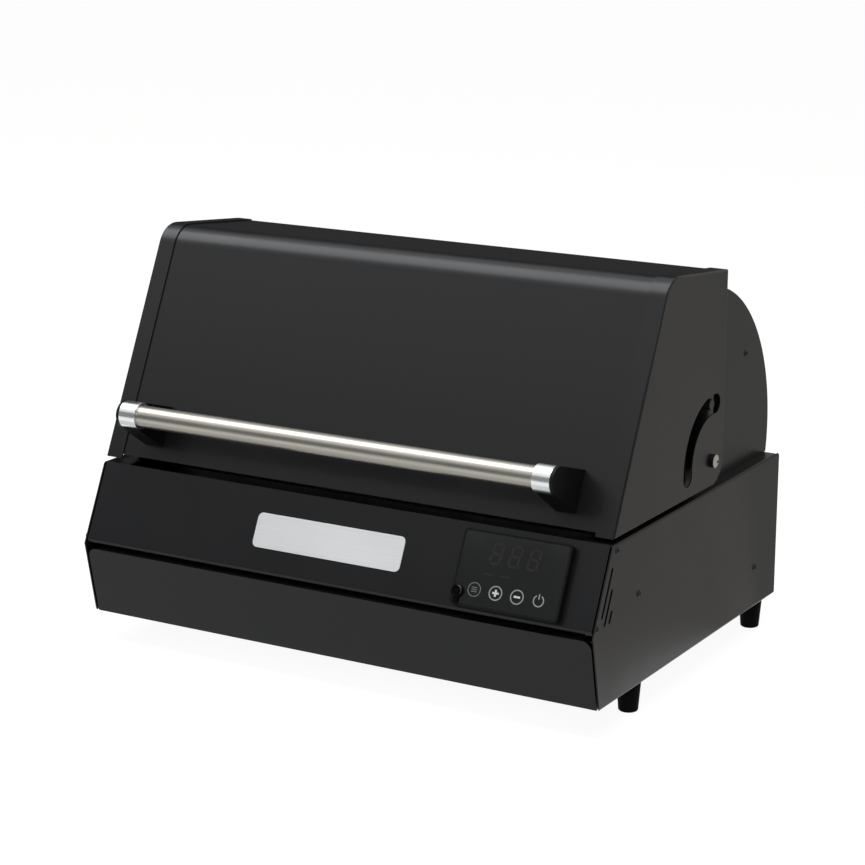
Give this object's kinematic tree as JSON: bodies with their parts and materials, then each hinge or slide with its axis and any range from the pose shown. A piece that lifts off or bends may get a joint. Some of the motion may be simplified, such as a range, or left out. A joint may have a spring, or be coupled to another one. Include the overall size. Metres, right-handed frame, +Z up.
{
  "type": "portable electric grill",
  "caption": "Countertop electric grill: low steel base with leaning control fascia, pull-out drip tray, fixed round rear hood and hinged lid with a tube handle.",
  "frame": {"origin": "middle of the footprint, on the surface that the feet stand on", "axes": "+X to the right across the front, +Y from front to rear, +Z up"},
  "size_m": [0.5298, 0.3872, 0.3713],
  "materials": {
    "black_paint": "satin black powder coat",
    "foot_rubber": "matte black rubber",
    "black_screw": "black oxide",
    "bright_screw": "bright stainless",
    "black_plastic": "fine moulded grain",
    "stainless_sheet": "brushed stainless",
    "polished_reflector": "polished",
    "quartz": "clear quartz",
    "ceramic": "ivory ceramic",
    "panel_glass": "gloss black front",
    "circuit_board": "solder mask",
    "bare_plate": "brushed silver",
    "brushed_tube": "brushed stainless",
    "bright_chrome": "polished chrome",
    "grate_steel": "stainless rod"
  },
  "bodies": {
    "base": {"base_side_left": "black_paint", "base_side_right": "black_paint", "front_fascia": "black_paint", "base_floor": "black_paint", "rear_panel": "black_paint", "rear_hood_shell": "black_paint", "hood_side_left": "black_paint", "hood_side_right": "black_paint", "heat_shield": "black_paint", "foot_front_left": "foot_rubber", "foot_front_right": "foot_rubber", "foot_rear_left": "foot_rubber", "foot_rear_right": "foot_rubber", "lid_bumper_left": "foot_rubber", "lid_bumper_right": "foot_rubber", "side_screws": "black_screw", "hood_screws": "black_screw", "stop_pin_left": "black_screw", "stop_pin_right": "black_screw", "foot_screws": "bright_screw", "pivot_screw_left": "bright_screw", "pivot_screw_right": "bright_screw", "temperature_sensor": "bright_screw", "pivot_bush_left": "black_plastic", "pivot_bush_right": "black_plastic", "control_housing": "black_plastic", "display_module": "black_plastic", "probe_jack": "black_plastic", "mains_inlet": "black_plastic", "firebox": "stainless_sheet", "tray_rail_left": "stainless_sheet", "tray_rail_right": "stainless_sheet", "reflector_left": "polished_reflector", "reflector_right": "polished_reflector", "inlet_pins": "polished_reflector", "heater_tube_left": "quartz", "heater_tube_right": "quartz", "heater_caps": "ceramic", "terminal_block": "ceramic", "control_glass": "panel_glass", "control_board": "circuit_board", "power_board": "circuit_board", "badge_plate": "bare_plate"},
    "lid": {"lid_panel": "black_paint", "lid_cheek_left": "black_paint", "lid_cheek_right": "black_paint", "handle_tube": "brushed_tube", "handle_collar_left": "bright_chrome", "handle_collar_right": "bright_chrome", "handle_bracket_left": "black_plastic", "handle_bracket_right": "black_plastic", "handle_screws": "bright_screw"},
    "tray": {"drip_tray_pan": "stainless_sheet", "drip_tray_front": "black_paint"},
    "grate": {"cooking_grate": "grate_steel"},
    "plug": {"probe_plug": "foot_rubber"}
  },
  "joints": [
    {"name": "lid_hinge", "type": "hinge", "parent": "base", "child": "lid", "pos_m": [0, 0.04056, 0.193], "axis": [-1, 0, 0], "range_deg": [0, 90]},
    {"name": "tray_slide", "type": "slide", "parent": "base", "child": "tray", "axis": [0, -1, 0], "range_m": [0, 0.27]},
    {"name": "grate_lift", "type": "slide", "parent": "base", "child": "grate", "axis": [0, 0, 1], "range_m": [0, 0.08]},
    {"name": "probe_plug_pull", "type": "slide", "parent": "base", "child": "plug", "axis": [0, -0.9026, 0.4305], "range_m": [0, 0.012]}
  ]
}
